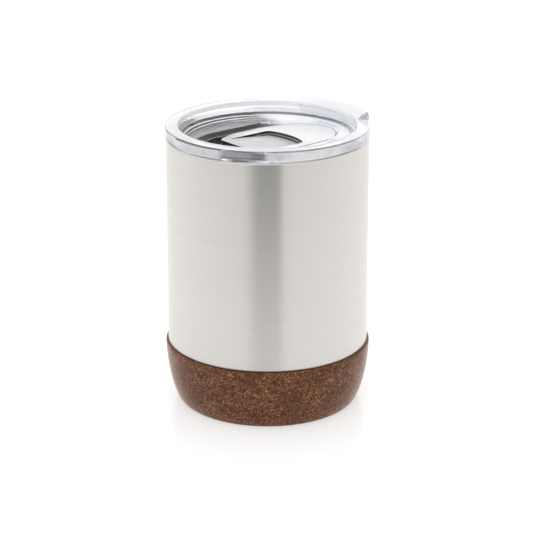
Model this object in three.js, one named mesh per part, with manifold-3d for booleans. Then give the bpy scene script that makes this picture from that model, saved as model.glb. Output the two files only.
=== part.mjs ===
// A short double-wall steel travel tumbler with a cork base and a clear press-in lid with a slider.
// Millimetres, +Z up. The origin is at the middle of the cork's underside; the drinking side is +X.
import * as THREE from 'three';
import * as BufferGeometryUtils from 'three/addons/utils/BufferGeometryUtils.js';
import Module from 'manifold-3d';

const wasm = await Module();
wasm.setup();

// ---- driving dimensions -------------------------------------------------------------------
const SEGMENTS = 48;               // steps round every turned piece, so that they nest
const CORNER_STEPS = 4;            // steps of a small corner in a turned outline
const CURVE_STEPS = 10;            // steps of a long curve seen from above
const SHEET = 0.5;                 // steel sheet of both cup walls
const JOINT_GAP = 0.05;            // between turned pieces that touch on the real object
const FIT_GAP = 0.1;               // round pieces that are held loosely
const RUN_GAP = 0.3;               // between pieces that slide, and beside cut pieces
const OVERLAP = 0.6;               // how far joined solids run into one another before the join

// steel cup
const RIM_Z = 108.6;               // top of the steel cup
const WALL_TOP_Z = RIM_Z - 0.1;    // the weld bead stands a little above both walls
const BODY_TOP_R = 39.8;
const BODY_LOW_R = 40.1;
const RIM_ROUND = 1.4;             // rounding of the steel where it turns in to the rim
const RIM_ARC_FROM = 70;           // degrees up from level, where that rounding meets the bead
const RIM_MEET_R = 38.35;          // where outer shell and liner are welded
const RIM_BEAD_HALF = 0.3;
const BEAD_SHOULDER = 0.12;        // fall of the bead from its crown to its edges

const SEAM_Z = 24.7;               // where the visible steel ends and the cork begins
const SEAM_HALF_GAP = 0.1;
const SHOULDER_ROUND = 1;          // lower edge of the visible steel
const NECK_ROUND = 0.8;
const NECK_R = 36.9;               // steel inside the cork
const SHELL_FOOT_R = 31.9;
const SHELL_FOOT_Z = 3.9;
const FOOT_CORNER = 4;

// cork base
const CORK_R = 41;
const CORK_FOOT_R = 35.2;
const CORK_ROUND_Z = 23.5;         // the cork narrows below this height
const CORK_ROUND_POWER = 1.6;
const CORK_ROUND_STEPS = 10;
const CORK_EDGE = 0.4;             // broken edge of the cork beside the steel
const CORK_FLOOR = 3.2;
const POCKET_R = 37.4;             // pocket in the cork
const POCKET_FUNNEL = 1;           // widening at its mouth, round the neck's rounding
const GLUE_GAP = 0.07;
const GLUE_LOW_Z = 12.9;
const GLUE_TOP_Z = SEAM_Z - 2;
const GLUE_PAD_R = 27.9;

// vacuum closure and getter
const PLATE_R = 31.3;
const PLATE_PANEL_Z = 5.4;
const PLATE_FLANGE = 0.8;          // flat edge of the plate, level with the foot
const PLATE_RISE = 1.2;            // width of the slope from that edge up to the panel
const PORT_R = 1;
const DIMPLE_R = 6;
const DIMPLE_DEPTH = 1.2;
const DROP_R = 3;
const DROP_CROWN_R = 2;
const DROP_THICK = 0.8;
const GETTER_X = 13;
const GETTER_R = 4;
const GETTER_HEIGHT = 1.5;
const STRAP_THICK = 0.4;
const STRAP_WIDTH = 3;

// liner
const LINER_LIP_R = 37.75;         // innermost point of its flat top edge
const LINER_THROAT_R = 37.35;
const LINER_TOP_R = 36.9;
const LINER_PLUG_R = 36.8;         // end of the nearly straight mouth that the lid plugs
const LINER_PLUG_DEPTH = 9;
const LINER_LOW_R = 34.8;
const LINER_FLOOR_Z = 14;
const LINER_CORNER = 8;

// lid ring, well and plug
const RING_R = 40.1;
const RING_INNER_R = 35.1;
const RING_LOW_Z = RIM_Z + RUN_GAP;
const RING_TOP_Z = RIM_Z + 5;
const EDGE = 0.5;                  // broken edge of the lid ring
const WELL_FLOOR_Z = RIM_Z - 0.6;
const WELL_FLOOR_R = 32;
const WELL_CORNER_R = 32.8;
const WELL_CORNER_RISE = 0.5;
const WELL_FLOOR_THICK = 1.8;
const PLUG_R = 35;
const PLUG_LOW_Z = RIM_Z - 7.4;
const PLUG_WALL = 2.8;
const GROOVE_R = 33.8;
const GROOVE_LOW_Z = RIM_Z - 5.8;
const GROOVE_TOP_Z = RIM_Z - 1.4;

// drinking lip and push tab
const LIP_HALF_ANGLE = 31;         // degrees each side of +X
const LIP_LOW_RISE = 1.4;          // height over the ring at its +Y end
const LIP_HIGH_RISE = 2.9;         // height over the ring at its -Y end
const LIP_FLAT = 0.9;
const LIP_INNER_RISE = 0.2;
const TAB_FROM = 171;              // degrees round from +X
const TAB_TO = 205;
const TAB_OUT = 0.5;
const TAB_MARGIN = 0.4;
const TRIM = 0.01;                 // keeps two joined faces from lying on each other

// seal
const SEAL_R = 36.6;               // tips of the seal's ribs
const SEAL_BODY_R = 35.4;
const SEAL_INNER_R = 34;
const SEAL_RIBS = 3;
const RIB_FOOT = 0.15;             // distance of a rib's foot from the end of its pitch
const RIB_TIP_FROM = 0.45;         // share of the pitch where its blunt tip begins
const RIB_TIP_TO = 0.65;

// slider and its channel
const SLIDER_HALF_WIDTH = 16.4;
const SLIDER_TIP_X = 31.2;         // front of its elliptical nose
const SLIDER_NOSE_X = 9;           // where the nose begins
const SLIDER_FLARE_X = -6;         // it narrows from here to its rear end
const SLIDER_REAR_X = -13.8;
const SLIDER_REAR_HALF = 12.6;
const SLIDER_CORNER = 3;
const SLIDER_THICK = 2.9;
const SLIDER_SUNK = 1.4;           // depth of its top under the well's floor
const SLIDER_TRAVEL = 10;
const SLIDER_TOP_Z = WELL_FLOOR_Z - SLIDER_SUNK;
const SLIDER_LOW_Z = SLIDER_TOP_Z - SLIDER_THICK;
const CHANNEL_FLOOR_Z = SLIDER_LOW_Z - RUN_GAP;
const CHANNEL_SLOPE = 1.5;         // how much wider the channel's mouth is, all round
const TRAY_WALL = 1.6;

// thumb scoop in the slider: its floor falls from the rear to a stepped front wall
const SCOOP_REAR_X = -10.5;
const SCOOP_FRONT_X = 11.6;
const SCOOP_FRONT_R = 30;          // its front wall is a shallow arc
const SCOOP_HALF_WIDTH = 11;
const SCOOP_CORNER = 5;
const SCOOP_STEP = 0.5;            // ledge part way down the wall
const SCOOP_STEP_DEPTH = 1.1;
const SCOOP_DEPTH = 2;

// drinking hole and the slider's pad
const HOLE_FROM_X = 20;
const HOLE_FRONT_R = 27.5;
const HOLE_HALF_WIDTH = 6.5;
const PAD_MARGIN = 1;              // pad round the drinking hole
const PAD_THICK = 1;
const PAD_ROOM = 0.2;              // over the pad in its pocket

// snap stem and its clip
const STEM_FROM_X = -6;
const STEM_TO_X = -2;
const STEM_HALF_WIDTH = 2.2;
const STEM_LENGTH = 2.6;           // under the tray
const BARB = 0.9;
const BARB_HEIGHT = 0.8;
const CLIP_HALF = 4.6;
const CLIP_THICK = 1.1;
const CLIP_LEG = 1;                // how far its legs reach past the stem

// ---- materials ----------------------------------------------------------------------------
const finish = (name, color, roughness, metalness, opacity = 1) =>
  new THREE.MeshStandardMaterial({ name, color, roughness, metalness, opacity, transparent: opacity < 1 });

const brushedSteel = () => finish('brushed_steel', 0xcfccc7, 0.34, 1);
const plainSteel = () => finish('plain_steel', 0xb8b8b6, 0.28, 1);
const corkAgglomerate = () => finish('cork_agglomerate', 0x5c3e2e, 0.85, 0);
const clearPlastic = () => finish('clear_plastic', 0xf1f3f7, 0.08, 0, 0.35);
const milkyPlastic = () => finish('milky_plastic', 0xf3f5f7, 0.2, 0, 0.85);
const clearSilicone = () => finish('clear_silicone', 0xe4e7ea, 0.35, 0, 0.6);
const epoxy = () => finish('epoxy', 0xd8d0b8, 0.5, 0);
const solder = () => finish('solder', 0x9a9a98, 0.4, 1);
const getterAlloy = () => finish('getter_alloy', 0x6f6f72, 0.6, 1);

// ---- helpers ------------------------------------------------------------------------------
const radians = THREE.MathUtils.degToRad;
const point = (x, y) => new THREE.Vector2(x, y);

// Points of an arc about (x, y), from one angle to another in degrees.
function arc(x, y, radius, from, to, steps) {
  return Array.from({ length: steps + 1 }, (_, i) => {
    const angle = radians(from + ((to - from) * i) / steps);
    return point(x + radius * Math.cos(angle), y + radius * Math.sin(angle));
  });
}

// The line moved sideways by distance, to the left of its direction when distance is positive.
function offsetLine(line, distance) {
  return line.map((here, i) => {
    const arriving = here.clone().sub(line[Math.max(i - 1, 0)]).normalize();
    const leaving = line[Math.min(i + 1, line.length - 1)].clone().sub(here).normalize();
    const along = arriving.clone().add(leaving).normalize();
    const reach = distance / along.dot(i === 0 ? leaving : arriving);
    return point(here.x - along.y * reach, here.y + along.x * reach);
  });
}

// Closed outline of a sheet of the given thickness on the left side of the line.
const sheetOutline = (line, thickness) => [...line, ...offsetLine(line, thickness).reverse()];

// Solid of revolution about Z. The outline is a closed loop of (radius, height) points.
function turned(outline) {
  const ordered = THREE.ShapeUtils.area(outline) > 0 ? outline : [...outline].reverse();
  const geometry = new THREE.LatheGeometry([...ordered, ordered[0]], SEGMENTS);
  return geometry.rotateX(Math.PI / 2);
}

// Upright prism between two heights on an outline of (x, y) points.
function prism(outline, lowZ, topZ) {
  const geometry = new THREE.ExtrudeGeometry(new THREE.Shape(outline), {
    depth: topZ - lowZ,
    bevelEnabled: false,
  });
  return geometry.translate(0, 0, lowZ);
}

// Upright solid between two outlines with the same number of points, one at each height.
function tapered(lowOutline, lowZ, topOutline, topZ) {
  const count = lowOutline.length;
  const corners = [
    ...lowOutline.map(({ x, y }) => [x, y, lowZ]),
    ...topOutline.map(({ x, y }) => [x, y, topZ]),
  ];
  const floor = THREE.ShapeUtils.triangulateShape(lowOutline, []);
  const roof = THREE.ShapeUtils.triangulateShape(topOutline, []);
  const faces = [
    ...floor.map(([a, b, c]) => [c, b, a]),
    ...roof.map(([a, b, c]) => [a + count, b + count, c + count]),
  ];
  for (let i = 0; i < count; i += 1) {
    const next = (i + 1) % count;
    faces.push([i, next, next + count], [i, next + count, i + count]);
  }
  const geometry = new THREE.BufferGeometry();
  geometry.setAttribute('position', new THREE.Float32BufferAttribute(corners.flat(), 3));
  return geometry.setIndex(faces.flat());
}

const rectangle = (lowX, lowY, topX, topY) => [
  point(lowX, lowY),
  point(topX, lowY),
  point(topX, topY),
  point(lowX, topY),
];

function box(lowX, lowY, lowZ, topX, topY, topZ) {
  return prism(rectangle(lowX, lowY, topX, topY), lowZ, topZ);
}

// Pie slice from the axis, between two angles in degrees.
function wedge(from, to, radius, lowZ, topZ) {
  return prism([point(0, 0), ...arc(0, 0, radius, from, to, CURVE_STEPS)], lowZ, topZ);
}

function toSolid(geometry) {
  const bare = geometry.index ? geometry.clone() : geometry;
  bare.deleteAttribute('normal');
  bare.deleteAttribute('uv');
  const merged = BufferGeometryUtils.mergeVertices(bare, 1e-4);
  const corners = merged.index.array;
  const kept = [];
  for (let i = 0; i < corners.length; i += 3) {
    const [a, b, c] = corners.slice(i, i + 3);
    if (a !== b && b !== c && c !== a) kept.push(a, b, c);
  }
  return new wasm.Manifold(
    new wasm.Mesh({
      numProp: 3,
      vertProperties: new Float32Array(merged.attributes.position.array),
      triVerts: new Uint32Array(kept),
    }),
  );
}

function toGeometry(solid) {
  const mesh = solid.getMesh();
  const geometry = new THREE.BufferGeometry();
  geometry.setAttribute('position', new THREE.BufferAttribute(new Float32Array(mesh.vertProperties), 3));
  geometry.setIndex(new THREE.BufferAttribute(new Uint32Array(mesh.triVerts), 1));
  geometry.computeVertexNormals();
  return geometry;
}

function named(name, geometry, material) {
  const mesh = new THREE.Mesh(geometry, material);
  mesh.name = name;
  return mesh;
}

// ---- the steel cup ------------------------------------------------------------------------
// Outer wall: rim, long body, shoulder over the cork, neck inside the cork, rounded foot.
function outerShell() {
  const steelLow = SEAM_Z + SEAM_HALF_GAP;
  const outside = [
    ...arc(BODY_TOP_R - RIM_ROUND, WALL_TOP_Z - RIM_ROUND, RIM_ROUND, RIM_ARC_FROM, 0, CORNER_STEPS),
    ...arc(BODY_LOW_R - SHOULDER_ROUND, steelLow + SHOULDER_ROUND, SHOULDER_ROUND, 0, -90, CORNER_STEPS),
    ...arc(NECK_R + NECK_ROUND, steelLow - NECK_ROUND, NECK_ROUND, 90, 180, 2),
    ...arc(NECK_R - FOOT_CORNER, SHELL_FOOT_Z + FOOT_CORNER, FOOT_CORNER, 0, -90, CORNER_STEPS),
    point(SHELL_FOOT_R, SHELL_FOOT_Z),
  ];
  return named('outer_shell', turned(sheetOutline(outside, -SHEET)), brushedSteel());
}

// Inner wall, which holds the drink: flat top edge, long tapered wall, rounded floor.
function innerLiner() {
  const inside = [
    point(LINER_LIP_R, WALL_TOP_Z),
    point(LINER_THROAT_R, WALL_TOP_Z - RUN_GAP),
    point(LINER_TOP_R, WALL_TOP_Z - RIM_ROUND),
    point(LINER_PLUG_R, RIM_Z - LINER_PLUG_DEPTH),
    ...arc(LINER_LOW_R - LINER_CORNER, LINER_FLOOR_Z + LINER_CORNER, LINER_CORNER, 0, -90, CORNER_STEPS + 1),
    point(0, LINER_FLOOR_Z),
  ];
  return named('inner_liner', turned(sheetOutline(inside, SHEET)), brushedSteel());
}

// Polished weld that joins the two walls at the rim.
function rimWeldBead() {
  const inner = RIM_MEET_R - RIM_BEAD_HALF;
  const outer = RIM_MEET_R + RIM_BEAD_HALF;
  const outline = [
    point(inner, WALL_TOP_Z - SHEET),
    point(outer, WALL_TOP_Z - SHEET),
    point(outer, RIM_Z - BEAD_SHOULDER),
    point(RIM_MEET_R, RIM_Z),
    point(inner, RIM_Z - BEAD_SHOULDER),
  ];
  return named('rim_weld_bead', turned(outline), plainSteel());
}

// Disc that closes the outer wall, with the evacuation port in a central dimple.
function vacuumBasePlate() {
  const dimpleTop = PLATE_PANEL_Z + DIMPLE_DEPTH;
  const flange = PLATE_R - PLATE_FLANGE;
  const underside = [
    point(PORT_R, dimpleTop),
    point(DIMPLE_R - DIMPLE_DEPTH, dimpleTop),
    point(DIMPLE_R, PLATE_PANEL_Z),
    point(flange - PLATE_RISE, PLATE_PANEL_Z),
    point(flange, SHELL_FOOT_Z),
    point(PLATE_R, SHELL_FOOT_Z),
  ];
  return named('vacuum_base_plate', turned(sheetOutline(underside, SHEET)), plainSteel());
}

function baseWeldBead() {
  const outline = rectangle(
    PLATE_R + JOINT_GAP,
    SHELL_FOOT_Z,
    SHELL_FOOT_R - JOINT_GAP,
    SHELL_FOOT_Z + SHEET,
  );
  return named('base_weld_bead', turned(outline), plainSteel());
}

// Solder drop that closes the evacuation port.
function portSolderSeal() {
  const top = PLATE_PANEL_Z + DIMPLE_DEPTH - JOINT_GAP;
  const low = top - DROP_THICK;
  const outline = [point(0, low), point(DROP_CROWN_R, low + FIT_GAP), point(DROP_R, top), point(0, top)];
  return named('port_solder_seal', turned(outline), solder());
}

// Top of the getter and of its strap, just under the liner's floor.
const getterTop = LINER_FLOOR_Z - SHEET - 2 * FIT_GAP;

// Gas-absorbing pill under the liner's floor, in the vacuum space.
function getterPill() {
  const pill = new THREE.CylinderGeometry(GETTER_R, GETTER_R, GETTER_HEIGHT, SEGMENTS / 2);
  pill.rotateX(Math.PI / 2).translate(GETTER_X, 0, getterTop - GETTER_HEIGHT / 2);
  return named('getter_pill', pill, getterAlloy());
}

// Strap that holds the pill up: a flat band with both ends turned up beside it.
function getterClip() {
  const bandTop = getterTop - GETTER_HEIGHT - FIT_GAP;
  const inner = GETTER_R + 2 * FIT_GAP;
  const outer = inner + STRAP_THICK;
  const outline = [
    point(-outer, bandTop - STRAP_THICK),
    point(outer, bandTop - STRAP_THICK),
    point(outer, getterTop),
    point(inner, getterTop),
    point(inner, bandTop),
    point(-inner, bandTop),
    point(-inner, getterTop),
    point(-outer, getterTop),
  ];
  const strap = prism(outline, -STRAP_WIDTH / 2, STRAP_WIDTH / 2);
  strap.rotateX(Math.PI / 2).rotateZ(Math.PI / 2).translate(GETTER_X, 0, 0);
  return named('getter_clip', strap, plainSteel());
}

// ---- the cork base ------------------------------------------------------------------------
function corkRadius(z) {
  const rise = Math.max(1 - z / CORK_ROUND_Z, 0);
  const share = Math.pow(1 - Math.pow(rise, CORK_ROUND_POWER), 1 / CORK_ROUND_POWER);
  return CORK_FOOT_R + (CORK_R - CORK_FOOT_R) * share;
}

function corkBase() {
  const top = SEAM_Z - SEAM_HALF_GAP;
  const rounded = Array.from({ length: CORK_ROUND_STEPS + 1 }, (_, i) => {
    const z = CORK_ROUND_Z * Math.pow(i / CORK_ROUND_STEPS, 2);
    return point(corkRadius(z), z);
  });
  const outline = [
    point(0, 0),
    ...rounded,
    point(CORK_R, top - CORK_EDGE),
    point(CORK_R - CORK_EDGE, top),
    point(POCKET_R + POCKET_FUNNEL, top),
    point(POCKET_R, top - POCKET_FUNNEL),
    ...arc(POCKET_R - FOOT_CORNER, CORK_FLOOR + FOOT_CORNER, FOOT_CORNER, 0, -90, CORNER_STEPS),
    point(0, CORK_FLOOR),
  ];
  return named('cork_base', turned(outline), corkAgglomerate());
}

// Glue film between the steel neck and the cork's pocket wall.
function corkAdhesive() {
  const outline = rectangle(NECK_R + GLUE_GAP, GLUE_LOW_Z, POCKET_R - GLUE_GAP, GLUE_TOP_Z);
  return named('cork_adhesive', turned(outline), epoxy());
}

// Glue pad between the cork's floor and the base plate.
function baseAdhesivePad() {
  const outline = rectangle(0, CORK_FLOOR + JOINT_GAP, GLUE_PAD_R, PLATE_PANEL_Z - FIT_GAP);
  return named('base_adhesive_pad', turned(outline), epoxy());
}

// ---- the lid ------------------------------------------------------------------------------
// Rounded corner of an outline, as points that start and end at reach from the corner.
function softCorner(before, corner, after, reach) {
  const start = corner.clone().lerp(before, reach / corner.distanceTo(before));
  const end = corner.clone().lerp(after, reach / corner.distanceTo(after));
  return new THREE.QuadraticBezierCurve(start, corner, end).getPoints(CURVE_STEPS / 2);
}

// The slider from above: elliptical nose, straight sides, and a rear end that closes in.
// grow widens it all round, and back moves all but its nose towards the rear.
function sliderOutline(grow, back) {
  const half = SLIDER_HALF_WIDTH + grow;
  const rearHalf = SLIDER_REAR_HALF + grow;
  const rearX = SLIDER_REAR_X - back - grow;
  const flareX = SLIDER_FLARE_X - back;
  const noseReach = SLIDER_TIP_X + grow - SLIDER_NOSE_X;
  const nose = new THREE.EllipseCurve(SLIDER_NOSE_X, 0, noseReach, half, -Math.PI / 2, Math.PI / 2);
  const left = [point(flareX, half), point(rearX, rearHalf), point(rearX, -rearHalf)];
  const right = [point(rearX, rearHalf), point(rearX, -rearHalf), point(flareX, -half)];
  return [
    ...nose.getPoints(CURVE_STEPS * 2),
    left[0],
    ...softCorner(...left, SLIDER_CORNER),
    ...softCorner(...right, SLIDER_CORNER),
    right[2],
  ];
}

// Drinking hole: straight towards the slider, round towards the lip.
function holeOutline(grow) {
  const frontR = HOLE_FRONT_R + grow;
  const half = HOLE_HALF_WIDTH + grow;
  const angle = THREE.MathUtils.radToDeg(Math.asin(half / frontR));
  return [
    point(HOLE_FROM_X - grow, half),
    point(HOLE_FROM_X - grow, -half),
    ...arc(0, 0, frontR, -angle, angle, CURVE_STEPS),
  ];
}

// Ring, sloped well wall, well floor and the plug with its seal groove, before the cuts.
function lidTurnedBody() {
  const ring = [
    point(RING_INNER_R, RING_TOP_Z - EDGE),
    point(RING_INNER_R + EDGE, RING_TOP_Z),
    point(RING_R - EDGE, RING_TOP_Z),
    point(RING_R, RING_TOP_Z - EDGE),
    point(RING_R, RING_LOW_Z + EDGE),
    point(RING_R - EDGE, RING_LOW_Z),
    point(PLUG_R, RING_LOW_Z),
  ];
  const plug = [
    point(PLUG_R, GROOVE_TOP_Z),
    point(GROOVE_R, GROOVE_TOP_Z),
    point(GROOVE_R, GROOVE_LOW_Z),
    point(PLUG_R, GROOVE_LOW_Z),
    point(PLUG_R, PLUG_LOW_Z + EDGE),
    point(PLUG_R - EDGE, PLUG_LOW_Z),
    point(PLUG_R - PLUG_WALL, PLUG_LOW_Z),
    point(PLUG_R - PLUG_WALL, WELL_FLOOR_Z - WELL_FLOOR_THICK),
  ];
  const floor = [
    point(0, WELL_FLOOR_Z - WELL_FLOOR_THICK),
    point(0, WELL_FLOOR_Z),
    point(WELL_FLOOR_R, WELL_FLOOR_Z),
    point(WELL_CORNER_R, WELL_FLOOR_Z + WELL_CORNER_RISE),
  ];
  return turned([...ring, ...plug, ...floor]);
}

// Raised drinking lip: highest at the outside. It falls to the ring's inner edge, and from its -Y end to
// its +Y end.
function drinkingLip() {
  const topZ = RING_TOP_Z + LIP_HIGH_RISE;
  const full = turned([
    point(RING_INNER_R + EDGE, RING_TOP_Z - OVERLAP),
    point(RING_R - TRIM, RING_TOP_Z - OVERLAP),
    point(RING_R - TRIM, topZ - EDGE),
    point(RING_R - EDGE, topZ),
    point(RING_R - EDGE - LIP_FLAT, topZ),
    point(RING_INNER_R + EDGE, RING_TOP_Z + LIP_INNER_RISE),
  ]);
  const endY = RING_R * Math.sin(radians(LIP_HALF_ANGLE));
  const low = RING_TOP_Z - 2 * OVERLAP;
  const slant = [
    point(-endY, low),
    point(endY, low),
    point(endY, RING_TOP_Z + LIP_LOW_RISE),
    point(-endY, topZ),
  ];
  const keep = prism(slant, 0, RING_R + OVERLAP).rotateX(Math.PI / 2).rotateZ(Math.PI / 2);
  const slice = wedge(-LIP_HALF_ANGLE, LIP_HALF_ANGLE, RING_R * 2, low, topZ);
  return toSolid(full).intersect(toSolid(slice)).intersect(toSolid(keep));
}

// Low pad on the ring's outside, opposite the lip, to push the lid off by.
function pushTab() {
  const full = turned(
    rectangle(RING_R - OVERLAP, RING_LOW_Z + TAB_MARGIN, RING_R + TAB_OUT, RING_TOP_Z - TAB_MARGIN),
  );
  const slice = wedge(TAB_FROM, TAB_TO, RING_R * 2, RING_LOW_Z, RING_TOP_Z);
  return toSolid(full).intersect(toSolid(slice));
}

function lidBody() {
  const trayLow = CHANNEL_FLOOR_Z - TRAY_WALL;
  const channelOutline = sliderOutline(RUN_GAP, SLIDER_TRAVEL);
  const mouthOutline = sliderOutline(RUN_GAP + CHANNEL_SLOPE, SLIDER_TRAVEL);
  const tray = prism(sliderOutline(RUN_GAP + TRAY_WALL, SLIDER_TRAVEL), trayLow, WELL_FLOOR_Z - OVERLAP);
  const channel = prism(channelOutline, CHANNEL_FLOOR_Z, WELL_FLOOR_Z + OVERLAP);
  const mouth = tapered(channelOutline, SLIDER_TOP_Z, mouthOutline, WELL_FLOOR_Z + TRIM);
  const drinkHole = prism(holeOutline(0), trayLow - OVERLAP, CHANNEL_FLOOR_Z + OVERLAP);
  const stemSlot = box(
    STEM_FROM_X - SLIDER_TRAVEL - RUN_GAP,
    -STEM_HALF_WIDTH - RUN_GAP,
    trayLow - OVERLAP,
    STEM_TO_X + RUN_GAP,
    STEM_HALF_WIDTH + RUN_GAP,
    CHANNEL_FLOOR_Z + OVERLAP,
  );
  const solid = toSolid(lidTurnedBody())
    .add(toSolid(tray))
    .add(drinkingLip())
    .add(pushTab())
    .subtract(toSolid(channel))
    .subtract(toSolid(mouth))
    .subtract(toSolid(drinkHole))
    .subtract(toSolid(stemSlot));
  return named('lid_body', toGeometry(solid), clearPlastic());
}

// Silicone ring in the plug's groove, with ribs that press on the liner.
function lidSeal() {
  const low = GROOVE_LOW_Z + FIT_GAP;
  const top = GROOVE_TOP_Z - FIT_GAP;
  const pitch = (top - low) / SEAL_RIBS;
  const ribs = Array.from({ length: SEAL_RIBS }, (_, i) => [
    point(SEAL_BODY_R, low + pitch * i + RIB_FOOT),
    point(SEAL_R, low + pitch * (i + RIB_TIP_FROM)),
    point(SEAL_R, low + pitch * (i + RIB_TIP_TO)),
    point(SEAL_BODY_R, low + pitch * (i + 1) - RIB_FOOT),
  ]).flat();
  const outline = [point(SEAL_INNER_R, low), point(SEAL_BODY_R, low), ...ribs, point(SEAL_BODY_R, top)];
  return named('lid_seal', turned([...outline, point(SEAL_INNER_R, top)]), clearSilicone());
}

// ---- the slider ---------------------------------------------------------------------------
// Lower end of the snap stem, under the tray.
const stemLow = CHANNEL_FLOOR_Z - TRAY_WALL - STEM_LENGTH;

// Scoop from above: shallow round front wall, rounded corners and straight sides. inset draws it in.
function scoopOutline(inset) {
  const half = SCOOP_HALF_WIDTH - inset;
  const frontR = SCOOP_FRONT_R - inset;
  const middleX = SCOOP_FRONT_X - SCOOP_FRONT_R;
  const sweep = THREE.MathUtils.radToDeg(Math.asin((half - SCOOP_CORNER) / frontR));
  const cornerX = middleX + Math.sqrt(frontR ** 2 - half ** 2);
  const front = arc(middleX, 0, frontR, -sweep, sweep, CURVE_STEPS);
  const left = new THREE.QuadraticBezierCurve(
    front[CURVE_STEPS],
    point(cornerX, half),
    point(cornerX - SCOOP_CORNER, half),
  ).getPoints(CORNER_STEPS);
  const right = left.map(({ x, y }) => point(x, -y)).reverse();
  const rear = [point(SCOOP_REAR_X, half), point(SCOOP_REAR_X, -half)];
  return [...front.slice(1, -1), ...left, ...rear, ...right];
}

// Everything above the scoop's sloping floor.
function aboveScoopFloor() {
  const above = SLIDER_TOP_Z + 2 * OVERLAP;
  const side = [
    point(SCOOP_REAR_X, SLIDER_TOP_Z),
    point(SCOOP_FRONT_X, SLIDER_TOP_Z - SCOOP_DEPTH),
    point(SCOOP_FRONT_X, above),
    point(SCOOP_REAR_X, above),
  ];
  return prism(side, -SLIDER_HALF_WIDTH, SLIDER_HALF_WIDTH).rotateX(Math.PI / 2);
}

function slider() {
  const above = SLIDER_TOP_Z + OVERLAP;
  const plate = prism(sliderOutline(0, 0), SLIDER_LOW_Z, SLIDER_TOP_Z);
  const upperScoop = prism(scoopOutline(0), SLIDER_TOP_Z - SCOOP_STEP_DEPTH, above);
  const lowerScoop = prism(scoopOutline(SCOOP_STEP), SLIDER_TOP_Z - SCOOP_DEPTH - OVERLAP, above);
  const scoop = toSolid(upperScoop).add(toSolid(lowerScoop)).intersect(toSolid(aboveScoopFloor()));
  const padPocket = prism(
    holeOutline(PAD_MARGIN + FIT_GAP),
    SLIDER_LOW_Z - OVERLAP,
    CHANNEL_FLOOR_Z + PAD_THICK + PAD_ROOM,
  );
  const stem = box(
    STEM_FROM_X,
    -STEM_HALF_WIDTH,
    stemLow,
    STEM_TO_X,
    STEM_HALF_WIDTH,
    SLIDER_LOW_Z + OVERLAP,
  );
  const barbs = box(
    STEM_FROM_X - BARB,
    -STEM_HALF_WIDTH,
    stemLow,
    STEM_TO_X + BARB,
    STEM_HALF_WIDTH,
    stemLow + BARB_HEIGHT,
  );
  const solid = toSolid(plate)
    .subtract(scoop)
    .subtract(toSolid(padPocket))
    .add(toSolid(stem))
    .add(toSolid(barbs));
  return named('slider', toGeometry(solid), milkyPlastic());
}

// Soft pad under the slider that closes the drinking hole.
function sliderPad() {
  const low = CHANNEL_FLOOR_Z + JOINT_GAP;
  return named('slider_pad', prism(holeOutline(PAD_MARGIN), low, low + PAD_THICK), clearSilicone());
}

// U-shaped clip round the stem, between the tray and the barbs.
function sliderClip() {
  const low = stemLow + BARB_HEIGHT + FIT_GAP;
  const centre = (STEM_FROM_X + STEM_TO_X) / 2;
  const gapHalf = (STEM_TO_X - STEM_FROM_X) / 2 + FIT_GAP;
  const gapTop = STEM_HALF_WIDTH + FIT_GAP;
  const legEnd = -STEM_HALF_WIDTH - CLIP_LEG;
  const outline = [
    point(centre - CLIP_HALF, CLIP_HALF),
    point(centre - CLIP_HALF, legEnd),
    point(centre - gapHalf, legEnd),
    point(centre - gapHalf, gapTop),
    point(centre + gapHalf, gapTop),
    point(centre + gapHalf, legEnd),
    point(centre + CLIP_HALF, legEnd),
    point(centre + CLIP_HALF, CLIP_HALF),
  ];
  return named('slider_clip', prism(outline, low, low + CLIP_THICK), milkyPlastic());
}

// ---- assembly -----------------------------------------------------------------------------
const cup = new THREE.Group();
cup.add(
  outerShell(),
  innerLiner(),
  rimWeldBead(),
  vacuumBasePlate(),
  baseWeldBead(),
  portSolderSeal(),
  getterPill(),
  getterClip(),
  corkBase(),
  corkAdhesive(),
  baseAdhesivePad(),
);

const lid = new THREE.Group();
lid.add(lidBody(), lidSeal());

const slide = new THREE.Group();
slide.add(slider(), sliderPad(), sliderClip());

const tumbler = new THREE.Group();
tumbler.add(cup, lid, slide);

export default tumbler;
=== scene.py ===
"""Looks of the cork-based steel tumbler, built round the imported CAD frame. Metres, in the frame's axes."""

import math

import bmesh
import bpy
from mathutils import Matrix, Vector


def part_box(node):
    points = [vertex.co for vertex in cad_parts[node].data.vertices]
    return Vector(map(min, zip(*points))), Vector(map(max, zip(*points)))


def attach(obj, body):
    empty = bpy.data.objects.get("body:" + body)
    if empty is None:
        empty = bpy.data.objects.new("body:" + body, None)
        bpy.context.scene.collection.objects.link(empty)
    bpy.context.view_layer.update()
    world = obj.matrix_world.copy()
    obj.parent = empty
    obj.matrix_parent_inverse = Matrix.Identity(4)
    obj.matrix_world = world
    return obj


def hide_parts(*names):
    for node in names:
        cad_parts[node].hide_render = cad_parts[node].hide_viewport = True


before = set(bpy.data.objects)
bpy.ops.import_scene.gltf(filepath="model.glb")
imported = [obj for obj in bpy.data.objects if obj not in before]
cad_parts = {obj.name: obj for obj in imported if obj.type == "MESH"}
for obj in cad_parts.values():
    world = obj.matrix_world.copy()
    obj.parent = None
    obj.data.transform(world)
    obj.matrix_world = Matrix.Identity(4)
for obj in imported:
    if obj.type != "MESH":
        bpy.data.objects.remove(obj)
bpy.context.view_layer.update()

MM = 0.001

# ---- sizes in millimetres, from the frame where it has them ---------------------------------
STEPS = 256  # steps round a turned piece


def top_of(node):
    """Highest point of a CAD node, in millimetres."""
    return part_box(node)[1].z / MM


def bottom_of(node):
    """Lowest point of a CAD node, in millimetres."""
    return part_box(node)[0].z / MM


def radius_of(node):
    """How far a CAD node reaches along +X, in millimetres: its radius, if it is round."""
    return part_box(node)[1].x / MM


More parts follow.
